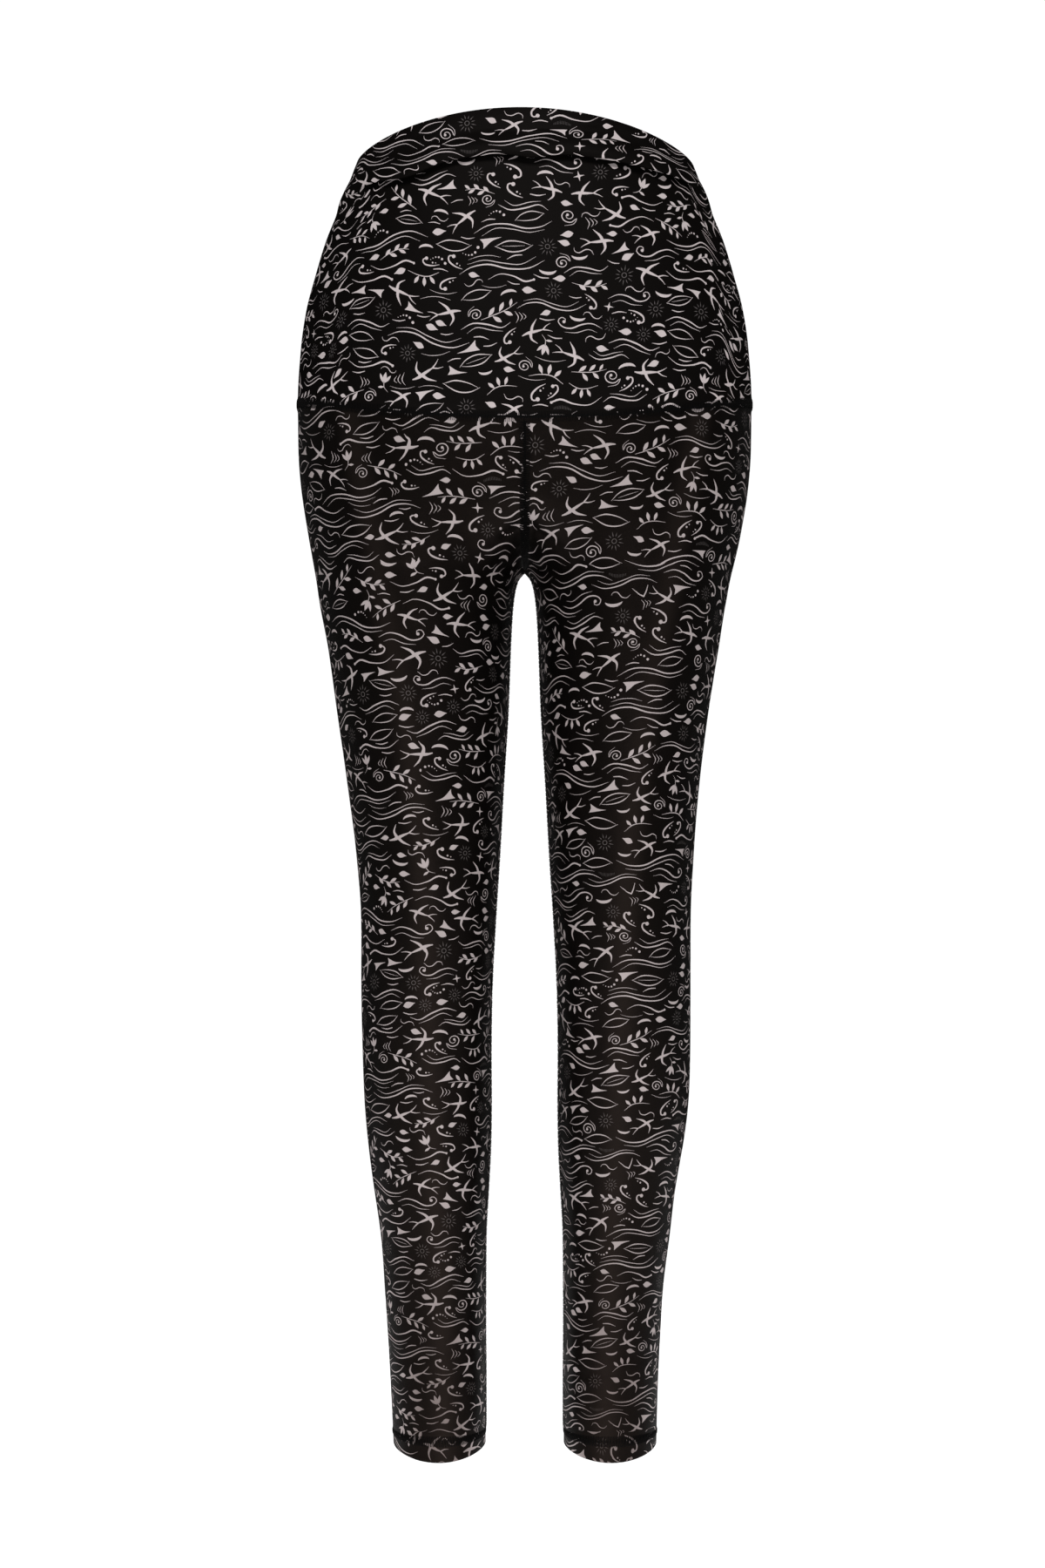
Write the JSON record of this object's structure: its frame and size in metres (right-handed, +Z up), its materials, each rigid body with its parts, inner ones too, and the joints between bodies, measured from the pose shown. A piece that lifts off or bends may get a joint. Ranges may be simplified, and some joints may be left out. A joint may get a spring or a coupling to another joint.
{
  "type": "leggings",
  "caption": "Full-length leggings in a patterned stretch knit, with a tall doubled waistband that slouches into a roll under its top edge, a flat centre seam and turned-up hems.",
  "frame": {"origin": "on the axis of the body, level with the waistband's top edge at the sides, where the wearer's waist holds the garment up", "axes": "+Z up, the front towards -Y, +X towards the wearer's left"},
  "size_m": [0.359, 0.2305, 1.046],
  "materials": {
    "band_cloth": "matt double-knit stretch jersey, black with a pale print",
    "leg_cloth": "matt stretch jersey, black with a pale print"
  },
  "bodies": {
    "root": {"waistband": "band_cloth", "leg_left": "leg_cloth", "leg_right": "leg_cloth"}
  },
  "joints": []
}
